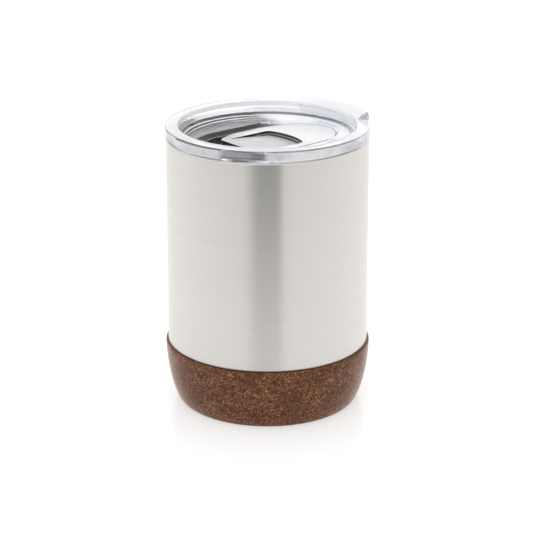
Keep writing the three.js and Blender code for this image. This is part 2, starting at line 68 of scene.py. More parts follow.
SHEET = 0.5  # steel of both walls
RIM_Z = top_of("rim_weld_bead")
WALL_TOP_Z = top_of("outer_shell")
RIM_MEET_R = 38.35  # where the two walls meet at the weld
RIM_HALF_GAP = 0.5  # from there to the edge of either wall
RIM_BEAD_WIDTH = 0.6
BEAD_SHOULDER = 0.1
RIM_FILLET = 1.5
BODY_TOP_R = 39.8
BODY_LOW_R = radius_of("outer_shell")
SEAM_Z = top_of("cork_base")
SEAM_GAP = 0.2  # between the cork's top and the steel
SHOULDER_FILLET = 0.9
NECK_R = 36.9
SHELL_FOOT_R = 31.9
SHELL_FOOT_Z = bottom_of("outer_shell")
FOOT_CORNER = 4.0
FOLD = 0.3  # small fillet where the sheet turns
LINER_TOP_R = 36.9
LINER_PLUG_R = 36.8  # just under the lid's plug
LINER_PLUG_DEPTH = 9.0
LINER_LOW_R = 34.8
LINER_FLOOR_Z = bottom_of("inner_liner") + SHEET
LINER_CORNER = 8.0

CORK_R = radius_of("cork_base")
CORK_FOOT_R = 35.2
CORK_ROUND_Z = 23.5  # the cork narrows below this height
CORK_ROUND_POWER = 1.6
CORK_ROUND_STEPS = 40
CORK_EDGE = 0.55
POCKET_R = 37.4
POCKET_FUNNEL, POCKET_FUNNEL_DEPTH = 0.9, 1.1  # wider mouth of the pocket
CORK_FLOOR = 3.2

RING_R = 40.1
RING_INNER_R = 35.1
RING_TOP_Z = RIM_Z + 5
RING_LOW_Z = RIM_Z + 0.3
RING_EDGE = 0.6  # rounding of its outer top edge
RING_TOP_STEPS = (1.2, 2.5, 3.8)  # from its inner edge
RING_WALL_START, RING_WALL_STEP, RING_WALL_POINTS = 0.9, 0.25, 14  # down from its top
WELL_FLOOR_Z = RIM_Z - 0.6
WELL_FLOOR_R = 32.0
WELL_FLOOR_THICK = 1.8
PLUG_R = 35.0
PLUG_WALL = 2.8
PLUG_LOW_Z = RIM_Z - 7.4
GROOVE_R = 33.8
GROOVE_LOW_Z = RIM_Z - 5.8
GROOVE_TOP_Z = RIM_Z - 1.4
LIP_HALF_ANGLE = 31.0  # degrees each side of +X
LIP_HIGH_RISE = top_of("lid_body") - RING_TOP_Z  # over the ring, at the lip's -Y end
LIP_LOW_RISE = 1.4  # at its +Y end
LIP_DEPTH = 2.4  # how far down the ring the lift of the lip begins
LIP_BLEND = 0.6  # degrees each side of the lip's ends over which it rises
TAB_FROM, TAB_TO = 171.0, 205.0  # degrees round from +X
TAB_OUT = 0.5
TAB_BLEND_OUT, TAB_BLEND_IN = 0.5, 0.3  # degrees past each end and inside it
TAB_EDGE, TAB_FULL = 0.35, 0.75  # from the ring's top and bottom edge to where the tab starts and is full
MOULD_EDGE = 0.22  # rounding of the lid's sharp edges
SMALL_EDGE = 0.15  # and of the slider's and its pad's

SEAL_R = radius_of("lid_seal")
SEAL_BODY_R = 35.4
SEAL_INNER_R = 34.0
SEAL_RIBS = 3
RIB_FOOT = 0.15
RIB_CREST = 0.25

SLIDER_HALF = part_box("slider")[1].y / MM
SLIDER_TIP_X = radius_of("slider")
SLIDER_NOSE_X = 9.0  # where its elliptical nose begins
SLIDER_FLARE_X = -6.0  # it narrows from here to its rear end
SLIDER_FLARE_FILLET = 9.0
SLIDER_REAR_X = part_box("slider")[0].x / MM
SLIDER_REAR_HALF = 12.6
SLIDER_CORNER = 3.0
SLIDER_TOP_Z = top_of("slider")
SLIDER_LOW_Z = SLIDER_TOP_Z - 2.9
SLIDER_TRAVEL = 10.0
RUN_GAP = 0.3
CHANNEL_FLOOR_Z = SLIDER_LOW_Z - RUN_GAP
CHANNEL_SLOPE = 1.5  # how much wider the channel's mouth is, all round
TRAY_WALL = 1.6
SCOOP_REAR_X, SCOOP_FRONT_X = -10.5, 11.6
SCOOP_FRONT_R = 30.0
SCOOP_HALF = 11.0
SCOOP_CORNER = 5.0
SCOOP_STEP = 0.5  # width of the ledge part way down its front wall
SCOOP_STEP_DEPTH = 1.1
SCOOP_DEPTH = 2.0
HOLE_FROM_X, HOLE_FRONT_R, HOLE_HALF = 20.0, 27.5, 6.5
PAD_MARGIN = 1.0  # how far the pad reaches past the hole
PAD_CLEARANCE = 0.1  # between the pad and the side of its pocket
PAD_ROOM = 0.15  # over the pad

STEM_X = (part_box("slider_clip")[0].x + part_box("slider_clip")[1].x) / 2 / MM
STEM_HALF_LENGTH, STEM_HALF_WIDTH = 2.0, 2.2
STEM_GAP = 0.3  # between the stem and its slot
BARB = 0.9  # how far the barbs stick out
BARB_HEIGHT = 0.8
SLOT_CORNER = 0.8
PAST = 1.0  # how far a cutting tool reaches past what it cuts


# ---- outlines -------------------------------------------------------------------------------
def arc(x, y, radius, start, end, steps):
    """Points of an arc about (x, y), between two angles in degrees."""
    angles = [math.radians(start + (end - start) * i / steps) for i in range(steps + 1)]
    return [(x + radius * math.cos(a), y + radius * math.sin(a)) for a in angles]


def filleted(loop, steps=6):
    """A closed loop of (x, y, fillet radius) corners as points, each corner rounded by its own radius."""
    points = []
    for i, (x, y, radius) in enumerate(loop):
        here = Vector((x, y))
        back = Vector(loop[i - 1][:2]) - here
        ahead = Vector(loop[(i + 1) % len(loop)][:2]) - here
        if radius <= 0:
            points.append((x, y))
            continue
        half = back.angle(ahead) / 2
        reach = min(radius / math.tan(half), back.length * 0.49, ahead.length * 0.49)
        start, end = here + back.normalized() * reach, here + ahead.normalized() * reach
        for k in range(steps + 1):
            t = k / steps
            p = start * (1 - t) ** 2 + here * 2 * t * (1 - t) + end * t**2
            points.append((p.x, p.y))
    return points


def slider_outline(grow=0.0, back=0.0, steps=48):
    """The slider from above, widened all round by grow, and all but its nose moved back."""
    half, rear_half = SLIDER_HALF + grow, SLIDER_REAR_HALF + grow
    rear, flare = SLIDER_REAR_X - back - grow, SLIDER_FLARE_X - back
    reach = SLIDER_TIP_X + grow - SLIDER_NOSE_X
    angles = [math.pi * (i / steps - 0.5) for i in range(steps + 1)]
    nose = [(SLIDER_NOSE_X + reach * math.cos(a), half * math.sin(a), 0) for a in angles]
    left = [(flare, half, SLIDER_FLARE_FILLET), (rear, rear_half, SLIDER_CORNER)]
    right = [(rear, -rear_half, SLIDER_CORNER), (flare, -half, SLIDER_FLARE_FILLET)]
    return filleted(nose + left + right, 8)


def rectangle(x, half_length, half_width):
    """Corners of a rectangle about (x, 0)."""
    low, high = x - half_length, x + half_length
    return [(low, -half_width), (high, -half_width), (high, half_width), (low, half_width)]


def hole_outline(grow=0.0):
    """Drinking hole: straight towards the slider, round towards the lip."""
    front_r, half = HOLE_FRONT_R + grow, HOLE_HALF + grow
    lean = math.degrees(math.asin(half / front_r))
    rear = HOLE_FROM_X - grow
    return [(rear, half), (rear, -half)] + arc(0, 0, front_r, -lean, lean, 24)


def scoop_outline(inset):
    """Shallow round front wall, rounded corners and straight sides, drawn in by inset."""
    half, front_r = SCOOP_HALF - inset, SCOOP_FRONT_R - inset
    middle = SCOOP_FRONT_X - SCOOP_FRONT_R
    sweep = math.degrees(math.asin((half - SCOOP_CORNER) / front_r))
    corner = middle + math.sqrt(front_r**2 - half**2)
    front = [(x, y, 0) for x, y in arc(middle, 0, front_r, -sweep, sweep, 32)]
    left, right = (corner, half, SCOOP_CORNER), (corner, -half, SCOOP_CORNER)
    return filleted(front + [left, (SCOOP_REAR_X, half, 0), (SCOOP_REAR_X, -half, 0), right], 12)


# ---- meshes ---------------------------------------------------------------------------------
def to_object(name, bm, sharp=math.radians(35)):
    """The bmesh as an object in the scene, scaled from millimetres, smooth but for its sharp edges."""
    bmesh.ops.remove_doubles(bm, verts=bm.verts, dist=1e-4)
    bmesh.ops.recalc_face_normals(bm, faces=bm.faces)
    bm.transform(Matrix.Scale(MM, 4))
    mesh = bpy.data.meshes.new(name)
    bm.to_mesh(mesh)
    bm.free()
    mesh.shade_smooth()
    mesh.set_sharp_from_angle(angle=sharp)
    piece = bpy.data.objects.new(name, mesh)
    bpy.context.scene.collection.objects.link(piece)
    return piece


def turned(loop, angles=None, shift=None):
    """Closed loop of (radius, z) swept round Z. shift(radius, z, angle) may move each point."""
    angles = angles or [360 * i / STEPS for i in range(STEPS)]
    bm = bmesh.new()
    rings = []
    for degrees in angles:
        a = math.radians(degrees)
        ring = []
        for r, z in loop:
            r2, z2 = shift(r, z, degrees) if shift else (r, z)
            ring.append(bm.verts.new((r2 * math.cos(a), r2 * math.sin(a), z2)))
        rings.append(ring)
    count = len(loop)
    for i, ring in enumerate(rings):
        after = rings[(i + 1) % len(rings)]
        for k in range(count):
            m = (k + 1) % count
            if loop[k][0] < 1e-6 and loop[m][0] < 1e-6:
                continue
            bm.faces.new((ring[k], after[k], after[m], ring[m]))
    bmesh.ops.remove_doubles(bm, verts=bm.verts, dist=1e-4)
    return bm


def tapered(low_outline, low, high_outline, high):
    """Upright solid between two outlines with the same number of points."""
    bm = bmesh.new()
    floor = [bm.verts.new((x, y, low)) for x, y in low_outline]
    roof = [bm.verts.new((x, y, high)) for x, y in high_outline]
    bm.faces.new(floor[::-1])
    bm.faces.new(roof)
    for i in range(len(floor)):
        m = (i + 1) % len(floor)
        bm.faces.new((floor[i], floor[m], roof[m], roof[i]))
    return bm


def prism(outline, low, high):
    """Upright prism on an outline of (x, y) points."""
    return tapered(outline, low, outline, high)


def modified(piece, kind, **settings):
    """Adds one modifier and applies it."""
    modifier = piece.modifiers.new(kind.lower(), kind)
    for key, value in settings.items():
        setattr(modifier, key, value)
    evaluated = piece.evaluated_get(bpy.context.evaluated_depsgraph_get())
    mesh = bpy.data.meshes.new_from_object(evaluated)
    piece.modifiers.clear()
    old = piece.data
    piece.data = mesh
    bpy.data.meshes.remove(old)
    return piece


def combined(piece, bm, operation):
    """Cuts or joins the piece with another solid."""
    tool = to_object("tool", bm)
    modified(piece, "BOOLEAN", object=tool, operation=operation, solver="EXACT")
    bpy.data.objects.remove(tool)
    return piece


def softened(piece, width, sharp=math.radians(35)):
    """Rounds the sharp edges a little, as a mould does."""
    modified(
        piece,
        "BEVEL",
        width=width * MM,
        segments=3,
        limit_method="ANGLE",
        angle_limit=sharp,
        harden_normals=False,
    )
    piece.data.shade_smooth()
    piece.data.set_sharp_from_angle(angle=sharp)
    return piece


def placed(piece, body, node, material):
    """The finished piece rides on its body and stands for its CAD node."""
    piece.data.materials.clear()
    piece.data.materials.append(material)
    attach(piece, body)
    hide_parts(node)
    return piece


# ---- materials ------------------------------------------------------------------------------
PLASTIC_IOR = 1.49
TOP_VEIL, LIP_CLEARER = 0.6, 0.15  # how cloudy the ring's top is, and how much less so the lip's
FLOOR_VEIL = 0.85
# faint cloudiness of the ring's inner wall, and how strongly the lip's inner wall takes its painted bluish
# grey, a painted refraction of the dark inside
INNER_WALL_VEIL, LIP_WALL_PAINTED_REFRACTION = 0.12, 0.4
# (turn about Z as a share of a full one from -X, how cloudy the ring's outer wall is there), laid out round
# the wall as a painted reflection
OUTER_WALL_PAINTED_REFLECTION = [
    (0.0, 0.65), (0.066, 0.65), (0.072, 0.25), (0.112, 0.15), (0.122, 0.0), (0.134, 0.0),
    (0.143, 0.8), (0.25, 0.78), (0.32, 0.4), (0.45, 0.4), (1.0, 0.65),
]


def grey(value):
    """Neutral colour of this brightness."""
    return (value, value, value, 1)


class Nodes:
    """Short way to make and link the nodes of one material, or of the world."""

    def __init__(self, owner, shader="Principled BSDF"):
        owner.use_nodes = True
        self.owner = owner
        self.tree = owner.node_tree
        self.shader = self.tree.nodes[shader]

    def add(self, kind, inputs=None, **settings):
        """New node with its settings, and its inputs by name or number."""
        node = self.tree.nodes.new(kind)
        for key, value in settings.items():
            setattr(node, key, value)
        for key, value in (inputs or {}).items():
            self.put(node, key, value)
        return node

    def put(self, node, key, value):
        """Links the value, if it is another node's output, or sets it."""
        if isinstance(value, bpy.types.NodeSocket):
            self.tree.links.new(value, node.inputs[key])
        else:
            node.inputs[key].default_value = value

    def set(self, **values):
        """Inputs of the shader, with _ for each space in their names."""
        for key, value in values.items():
            self.put(self.shader, key.replace("_", " "), value)

    def math(self, operation, a, b=0.0, c=0.0):
        return self.add("ShaderNodeMath", {0: a, 1: b, 2: c}, operation=operation).outputs[0]

    def ramp(self, factor, stops):
        """Colour ramp of (position, colour) stops."""
        node = self.add("ShaderNodeValToRGB", {"Fac": factor})
        elements = node.color_ramp.elements
        while len(elements) < len(stops):
            elements.new(0.5)
        for element, (position, colour) in zip(elements, stops):
            element.position = position
            element.color = (*colour, 1) if len(colour) == 3 else colour
        return node.outputs["Color"]

    def grey(self, factor, stops):
        """Ramp of (position, grey level) stops."""
        return self.ramp(factor, [(p, (v, v, v)) for p, v in stops])

    def mix(self, factor, a, b, blend="MIX"):
        """Colour between a and b, which are a mix node's inputs 6 and 7."""
        inputs = {0: factor, 6: a, 7: b}
        return self.add("ShaderNodeMix", inputs, data_type="RGBA", blend_type=blend).outputs[2]

    def rising(self, value, low, high):
        """0 where the value is under low, 1 over high, smooth between."""
        inputs = {"Value": value, "From Min": low, "From Max": high}
        node = self.add("ShaderNodeMapRange", inputs, interpolation_type="SMOOTHSTEP")
        return node.outputs["Result"]

    def noise(self, vector, scale, detail=4.0, roughness=0.55):
        inputs = {"Vector": vector, "Scale": scale, "Detail": detail, "Roughness": roughness}
        return self.add("ShaderNodeTexNoise", inputs).outputs["Fac"]

    def bump(self, height, strength, distance):
        inputs = {"Height": height, "Strength": strength, "Distance": distance}
        return self.add("ShaderNodeBump", inputs).outputs["Normal"]


def wrapped(n, around, along):
    """Object position times around in X and Y and along in Z, so that a noise on it runs round the cup."""
    place = n.add("ShaderNodeTexCoord").outputs["Object"]
    inputs = {0: place, 1: (around, around, along)}
    return n.add("ShaderNodeVectorMath", inputs, operation="MULTIPLY").outputs[0]


def brushed_steel(name, colour, roughness, streak=1.0):
    """Steel brushed round the cup: long fine scratches, a little tone change, and light stretched upwards."""
    n = Nodes(bpy.data.materials.new(name))
    fine = n.noise(wrapped(n, 12, 9000), 1.0, 3.0, 0.6)
    broad = n.noise(wrapped(n, 6, 900), 1.0, 2.0, 0.5)
    tone = n.mix(0.5, fine, broad)
    light = tuple(min(1.0, c * (1 + 0.025 * streak)) for c in colour)
    dark = tuple(c * (1 - 0.025 * streak) for c in colour)
    n.set(Base_Color=n.ramp(tone, [(0.3, dark), (0.7, light)]), Metallic=1.0)
    n.set(Roughness=n.grey(tone, [(0.3, roughness + 0.04), (0.7, roughness - 0.04)]))
    round_axis = n.add("ShaderNodeTangent", direction_type="RADIAL", axis="Z").outputs[0]
    n.set(Anisotropic=0.95, Anisotropic_Rotation=0.25, Tangent=round_axis)
    n.set(Normal=n.bump(fine, 0.05 * streak, 0.00002))
    return n.owner


def cork():
    """Dark pressed cork: fine granules, tan flecks that crowd in drifts, dark pores, and a dusty sheen."""
    n = Nodes(bpy.data.materials.new("pressed_cork"))
    place = n.add("ShaderNodeTexCoord").outputs["Object"]
    wander = n.add("ShaderNodeTexNoise", {"Vector": place, "Scale": 900.0}).outputs["Color"]
    bend = {0: wander, 1: (0.0011, 0.0011, 0.0011), 2: place}
    crooked = n.add("ShaderNodeVectorMath", bend, operation="MULTIPLY_ADD").outputs[0]
    grains = n.add("ShaderNodeTexVoronoi", {"Vector": crooked, "Scale": 1300.0}, feature="F1")
    grain_tone = n.add("ShaderNodeSeparateColor", {"Color": grains.outputs["Color"]}).outputs[0]
    body = n.ramp(
        grain_tone,
        [(0.0, (0.06, 0.021, 0.01)), (0.5, (0.105, 0.038, 0.016)), (1.0, (0.17, 0.066, 0.03))],
    )
    drift = n.grey(n.noise(place, 110.0, 3.0), [(0.36, 0.0), (0.6, 1.0)])
    flecks = n.add("ShaderNodeTexVoronoi", {"Vector": crooked, "Scale": 1800.0}, feature="F1")
    pick = n.add("ShaderNodeSeparateColor", {"Color": flecks.outputs["Color"]}).outputs[1]
    limit = n.math("SUBTRACT", 0.86, n.math("MULTIPLY", drift, 0.44))
    chosen = n.grey(n.math("SUBTRACT", pick, limit), [(0.0, 0.0), (0.08, 1.0)])
    near = n.grey(flecks.outputs["Distance"], [(0.2, 1.0), (0.62, 0.0)])
    fleck = n.math("MULTIPLY", chosen, near)
    fleck_colour = n.ramp(
        n.noise(place, 1100.0, 2.0),
        [(0.3, (0.26, 0.1, 0.04)), (0.55, (0.45, 0.2, 0.09)), (0.75, (0.72, 0.42, 0.24))],
    )
    colour = n.mix(fleck, body, fleck_colour)
    pores = n.grey(n.noise(place, 620.0, 5.0, 0.7), [(0.3, 0.4), (0.45, 1.0)])
    n.set(Base_Color=n.mix(1.0, colour, pores, "MULTIPLY"))
    n.set(Roughness=n.grey(n.noise(place, 500.0, 3.0), [(0.3, 0.58), (0.7, 0.42)]))
    n.set(Specular_IOR_Level=0.15, Coat_Weight=0.03, Coat_Roughness=0.3)
    n.set(Sheen_Weight=0.85, Sheen_Roughness=0.3, Sheen_Tint=(1.0, 0.9, 0.82, 1))
    height = n.math("ADD", n.math("MULTIPLY", grain_tone, 0.5), n.noise(place, 1400.0, 4.0, 0.6))
    n.set(Normal=n.bump(height, 0.3, 0.0001))
    return n.owner


def lid_plastic():
    """Clear moulded plastic with faint flow marks and hairline scuffs. It is satin white on the ring's top
    and on the floor under the lip, cloudy in the ring's walls, with a painted reflection in how cloudy the
    outer wall is round the ring and a painted bluish grey refraction on the lip's inner wall, and clear in
    the rest of the well."""
    n = Nodes(bpy.data.materials.new("clear_lid_plastic"))
    coordinates = n.add("ShaderNodeTexCoord")
    place = coordinates.outputs["Object"]
    x, y, z = n.add("ShaderNodeSeparateXYZ", {"Vector": place}).outputs
    upward = n.add("ShaderNodeSeparateXYZ", {"Vector": coordinates.outputs["Normal"]}).outputs["Z"]
    radius = n.math("SQRT", n.math("ADD", n.math("POWER", x, 2.0), n.math("POWER", y, 2.0)))
    turn = n.math("MULTIPLY_ADD", n.math("ARCTAN2", y, x), 1 / math.tau, 0.5)
    facing_up = n.rising(upward, 0.5, 0.7)
    top = n.math("MULTIPLY", n.rising(z, (RING_TOP_Z - 0.6) * MM, (RING_TOP_Z - 0.4) * MM), facing_up)
    lip = n.rising(z, (RING_TOP_Z + 0.1) * MM, (RING_TOP_Z + 0.5) * MM)
    top_veil = n.math("MULTIPLY", top, n.math("MULTIPLY_ADD", lip, -LIP_CLEARER, TOP_VEIL))
    outer_wall = n.rising(radius, (RING_R - 0.35) * MM, (RING_R - 0.15) * MM)
    # painted reflection: the outer wall's cloudiness changes by turn round the ring, in whiter and clearer
    # stretches
    cloudy = n.grey(turn, OUTER_WALL_PAINTED_REFLECTION)
    low_edge = n.rising(z, (RING_LOW_Z + 0.35) * MM, (RING_LOW_Z + 0.7) * MM)
    high_edge = n.rising(z, (RING_TOP_Z - 0.9) * MM, (RING_TOP_Z - 0.6) * MM)
    between_edges = n.math("MULTIPLY", low_edge, n.math("SUBTRACT", 1.0, high_edge))
    in_ring = n.math(
        "MULTIPLY", n.rising(radius, (RING_INNER_R - 1.7) * MM, (RING_INNER_R - 1.2) * MM), between_edges
    )
    inside_lip = n.math("MULTIPLY", n.rising(x, 29 * MM, 31 * MM), n.math("SUBTRACT", 1.0, outer_wall))
    inner_veil = n.mix(inside_lip, grey(INNER_WALL_VEIL), grey(LIP_WALL_PAINTED_REFRACTION))
    mottle = n.grey(n.noise(wrapped(n, 75, 160), 1.0, 3.0, 0.6), [(0.36, 0.0), (0.55, 1.0)])
    wall_veil = n.math("MULTIPLY", in_ring, n.mix(outer_wall, inner_veil, cloudy))
    wall_veil = n.math("MULTIPLY", wall_veil, n.math("MULTIPLY_ADD", mottle, 0.2, 0.8))
    in_channel = n.math("LESS_THAN", z, (WELL_FLOOR_Z - 0.2) * MM)
    above_tray = n.math("GREATER_THAN", z, (CHANNEL_FLOOR_Z - 0.2) * MM)
    near_floor = n.math("MAXIMUM", facing_up, n.math("MULTIPLY", in_channel, above_tray))
    front = n.math("MULTIPLY", n.rising(x, 14 * MM, 22 * MM), near_floor)
    floor_veil = n.math("MULTIPLY", front, FLOOR_VEIL)
    veil = n.math("MAXIMUM", n.math("MAXIMUM", top_veil, wall_veil), floor_veil)
    wall_white = n.mix(mottle, (0.8, 0.82, 0.9, 1), (0.93, 0.935, 0.955, 1))
    white = n.mix(top, wall_white, (0.78, 0.78, 0.805, 1))
    # painted refraction: the lip's inner wall gets a bluish grey for the dark inside seen through it
    white = n.mix(n.math("MULTIPLY", inside_lip, in_ring), white, (0.4, 0.42, 0.52, 1))
    flow = n.noise(place, 45.0, 2.0)
    tint = n.ramp(flow, [(0.35, (0.93, 0.945, 0.985)), (0.65, (0.96, 0.97, 0.99))])
    scuff = n.grey(n.noise(wrapped(n, 300, 2500), 1.0, 4.0, 0.7), [(0.62, 0.015), (0.8, 0.11)])
    n.set(Base_Color=n.mix(veil, tint, white))
    n.set(Roughness=n.math("ADD", scuff, n.math("MULTIPLY", veil, 0.12)))
    n.set(Transmission_Weight=n.math("SUBTRACT", 1.0, veil))
    n.set(IOR=PLASTIC_IOR)
    n.set(Normal=n.bump(flow, 0.05, 0.0004))
    return n.owner


def milky_plastic(name):
    """White translucent plastic: satin on faces that look up, greyer at the rear, more see-through where the
    scoop thins it, with a painted shade greying the scoop's floor, and painted shade, near black, on the
    scoop's steep walls, which stay glossy."""
    n = Nodes(bpy.data.materials.new(name))
    coordinates = n.add("ShaderNodeTexCoord")
    place = coordinates.outputs["Object"]
    x, y, z = n.add("ShaderNodeSeparateXYZ", {"Vector": place}).outputs
    upward = n.add("ShaderNodeSeparateXYZ", {"Vector": coordinates.outputs["Normal"]}).outputs["Z"]
    grain = n.noise(place, 2600.0, 3.0)
    cloud = n.noise(place, 90.0, 3.0)
    face = n.rising(upward, 0.75, 0.95)
    sunk = n.math("LESS_THAN", z, (SLIDER_TOP_Z - 0.06) * MM)
    forward = n.rising(x, -12 * MM, 2 * MM)
    top = n.mix(forward, (0.52, 0.52, 0.53, 1), (0.8, 0.805, 0.82, 1))
    # painted shade: the scoop's floor is a darker grey for the dark seen through its thinner plastic, besides
    # its real extra see-through below
    scoop = n.ramp(cloud, [(0.3, (0.6, 0.595, 0.6)), (0.7, (0.68, 0.675, 0.68))])
    beside = n.rising(n.math("ABSOLUTE", y), 11.3 * MM, 11.8 * MM)
    outside = n.math("MAXIMUM", beside, n.math("LESS_THAN", x, (SCOOP_REAR_X - 0.3) * MM))
    shaded = n.math("MAXIMUM", outside, n.rising(x, 2.5 * MM, 6 * MM))
    # painted shade: the steep walls at the scoop's sides, rear and front get a near-black colour and less
    # transmission, as if in shadow
    steep = n.math("MULTIPLY", n.math("SUBTRACT", 1.0, face), n.math("LESS_THAN", x, 13 * MM))
    steep = n.math("MULTIPLY", steep, shaded)
    steep = n.math("MULTIPLY", steep, n.math("GREATER_THAN", z, (SLIDER_LOW_Z - 0.05) * MM))
    n.set(Base_Color=n.mix(steep, n.mix(sunk, top, scoop), (0.03, 0.03, 0.04, 1)))
    milk = n.mix(sunk, n.grey(cloud, [(0.3, 0.84), (0.7, 0.9)]), grey(0.7))
    solid = n.math("MAXIMUM", n.math("MULTIPLY", face, milk), n.math("MULTIPLY", steep, 0.4))
    n.set(Transmission_Weight=n.math("SUBTRACT", 1.0, solid))
    n.set(Roughness=n.math("MULTIPLY_ADD", face, 0.22, n.grey(grain, [(0.3, 0.02), (0.7, 0.06)])))
    n.set(IOR=PLASTIC_IOR)
    n.set(Normal=n.bump(grain, 0.04, 0.00003))
    return n.owner


def silicone():
    """Milky translucent silicone with a fine satin bloom."""
    n = Nodes(bpy.data.materials.new("translucent_silicone"))
    place = n.add("ShaderNodeTexCoord").outputs["Object"]
    bloom = n.noise(place, 700.0, 3.0)
    n.set(Base_Color=n.ramp(bloom, [(0.3, (0.86, 0.88, 0.9)), (0.7, (0.95, 0.96, 0.97))]))
    n.set(Roughness=n.grey(bloom, [(0.3, 0.34), (0.7, 0.26)]))
    n.set(Transmission_Weight=0.85, IOR=1.41)
    n.set(Normal=n.bump(bloom, 0.1, 0.00005))
    return n.owner


def cast_metal(name, colour, roughness, scale):
    """Plain worked metal: grainy tone and roughness."""
    n = Nodes(bpy.data.materials.new(name))
    place = n.add("ShaderNodeTexCoord").outputs["Object"]
    grain = n.noise(place, scale, 4.0)
    dark = tuple(c * 0.85 for c in colour)
    n.set(Base_Color=n.ramp(grain, [(0.3, dark), (0.7, colour)]), Metallic=1.0)
    n.set(Roughness=n.grey(grain, [(0.3, roughness + 0.1), (0.7, roughness)]))
    n.set(Normal=n.bump(grain, 0.2, 0.00005))
    return n.owner


def cured_glue():
    """Cloudy yellowish epoxy."""
    n = Nodes(bpy.data.materials.new("cured_epoxy"))
    place = n.add("ShaderNodeTexCoord").outputs["Object"]
    cloud = n.noise(place, 260.0, 4.0)
    n.set(Base_Color=n.ramp(cloud, [(0.3, (0.6, 0.52, 0.36)), (0.7, (0.74, 0.68, 0.52))]))
    n.set(Roughness=n.grey(cloud, [(0.3, 0.4), (0.7, 0.55)]))
    n.set(Normal=n.bump(cloud, 0.2, 0.0001))
    return n.owner


# ---- the steel cup --------------------------------------------------------------------------
def outer_shell():
    """Rim, long body, shoulder over the cork, neck inside the cork and rounded foot, all one sheet."""
    rim_in = RIM_MEET_R + RIM_HALF_GAP
    shoulder = SEAM_Z + SEAM_GAP
    low = shoulder + 0.05
    loop = [
        (rim_in, WALL_TOP_Z, 0.1),
        (BODY_TOP_R, WALL_TOP_Z, RIM_FILLET),
        (BODY_LOW_R, low, SHOULDER_FILLET),
        (NECK_R + 0.7, shoulder, FOLD),
        (NECK_R, SEAM_Z - 0.7, FOLD),
        (NECK_R, SHELL_FOOT_Z, FOOT_CORNER),
        (SHELL_FOOT_R, SHELL_FOOT_Z, 0),
        (SHELL_FOOT_R, SHELL_FOOT_Z + SHEET, 0),
        (NECK_R - SHEET, SHELL_FOOT_Z + SHEET, FOOT_CORNER - SHEET),
        (NECK_R - SHEET, SEAM_Z - 0.4, FOLD),
        (NECK_R + 0.5, shoulder + SHEET, FOLD),
        (BODY_LOW_R - SHEET, low + SHEET, SHEET),
        (BODY_TOP_R - SHEET, WALL_TOP_Z - SHEET, RIM_FILLET - SHEET),
        (rim_in, WALL_TOP_Z - SHEET, 0.1),
    ]
    return to_object("outer_shell_skin", turned(filleted(loop)))


def inner_liner():
    """Narrow throat at the rim, long wall that tapers down, and rounded floor."""
    rim_out = RIM_MEET_R - RIM_HALF_GAP
    plug_z = RIM_Z - LINER_PLUG_DEPTH
    loop = [
        (rim_out, WALL_TOP_Z, 0.1),
        (rim_out, WALL_TOP_Z - SHEET, 0.1),
        (LINER_TOP_R + SHEET, RIM_Z - 0.9, 1.0),
        (LINER_PLUG_R + SHEET, plug_z, 3),
        (LINER_LOW_R + SHEET, LINER_FLOOR_Z - SHEET, LINER_CORNER + SHEET),
        (0, LINER_FLOOR_Z - SHEET, 0),
        (0, LINER_FLOOR_Z, 0),
        (LINER_LOW_R, LINER_FLOOR_Z, LINER_CORNER),
        (LINER_PLUG_R, plug_z, 3),
        (LINER_TOP_R, RIM_Z - 0.35, 1.0),
    ]
    return to_object("inner_liner_skin", turned(filleted(loop, 8)))


def rim_bead():
    """The weld's low crown, between the edges of the two walls."""
    low, high = bottom_of("rim_weld_bead"), RIM_Z
    r_out = radius_of("rim_weld_bead")
    r_in = r_out - RIM_BEAD_WIDTH
    loop = [
        (r_in, low, 0),
        (r_out, low, 0),
        (r_out, high - BEAD_SHOULDER, 0),
        (r_in + RIM_BEAD_WIDTH / 2, high, FOLD),
        (r_in, high - BEAD_SHOULDER, 0),
    ]
    return to_object("rim_weld_bead_skin", turned(filleted(loop)))


def cork_radius(z):
    """The cork's outer radius at a height: a rounded swell from the foot to the full width."""
    rise = max(1 - z / CORK_ROUND_Z, 0)
    share = (1 - rise**CORK_ROUND_POWER) ** (1 / CORK_ROUND_POWER)
    return CORK_FOOT_R + (CORK_R - CORK_FOOT_R) * share


def cork_base():
    """The cork cup: flat underside, wall that swells upwards, and the pocket for the steel."""
    heights = [CORK_ROUND_Z * (i / CORK_ROUND_STEPS) ** 2 for i in range(CORK_ROUND_STEPS + 1)]
    loop = [
        (0, 0, 0),
        *[(cork_radius(z), z, 0) for z in heights],
        (CORK_R, SEAM_Z, CORK_EDGE),
        (POCKET_R + POCKET_FUNNEL, SEAM_Z, 0.2),
        (POCKET_R, SEAM_Z - POCKET_FUNNEL_DEPTH, 0.2),
        (POCKET_R, CORK_FLOOR, FOOT_CORNER),
        (0, CORK_FLOOR, 0),
    ]
    return to_object("cork_base_skin", turned(filleted(loop)))


# ---- the lid --------------------------------------------------------------------------------
def ramp_between(value, low, high):
    """0 below low, 1 above high, smooth between."""
    t = min(max((value - low) / (high - low), 0), 1)
    return t * t * (3 - 2 * t)


def lid_angles():
    """Even steps, with more of them where the lip and the tab begin and end."""
    angles = {round(360 * i / STEPS, 4) for i in range(STEPS)}
    for edge in (LIP_HALF_ANGLE, 360 - LIP_HALF_ANGLE, TAB_FROM, TAB_TO):
        angles |= {round(edge + k * 0.14, 4) for k in range(-9, 10)}
    return sorted(angles)


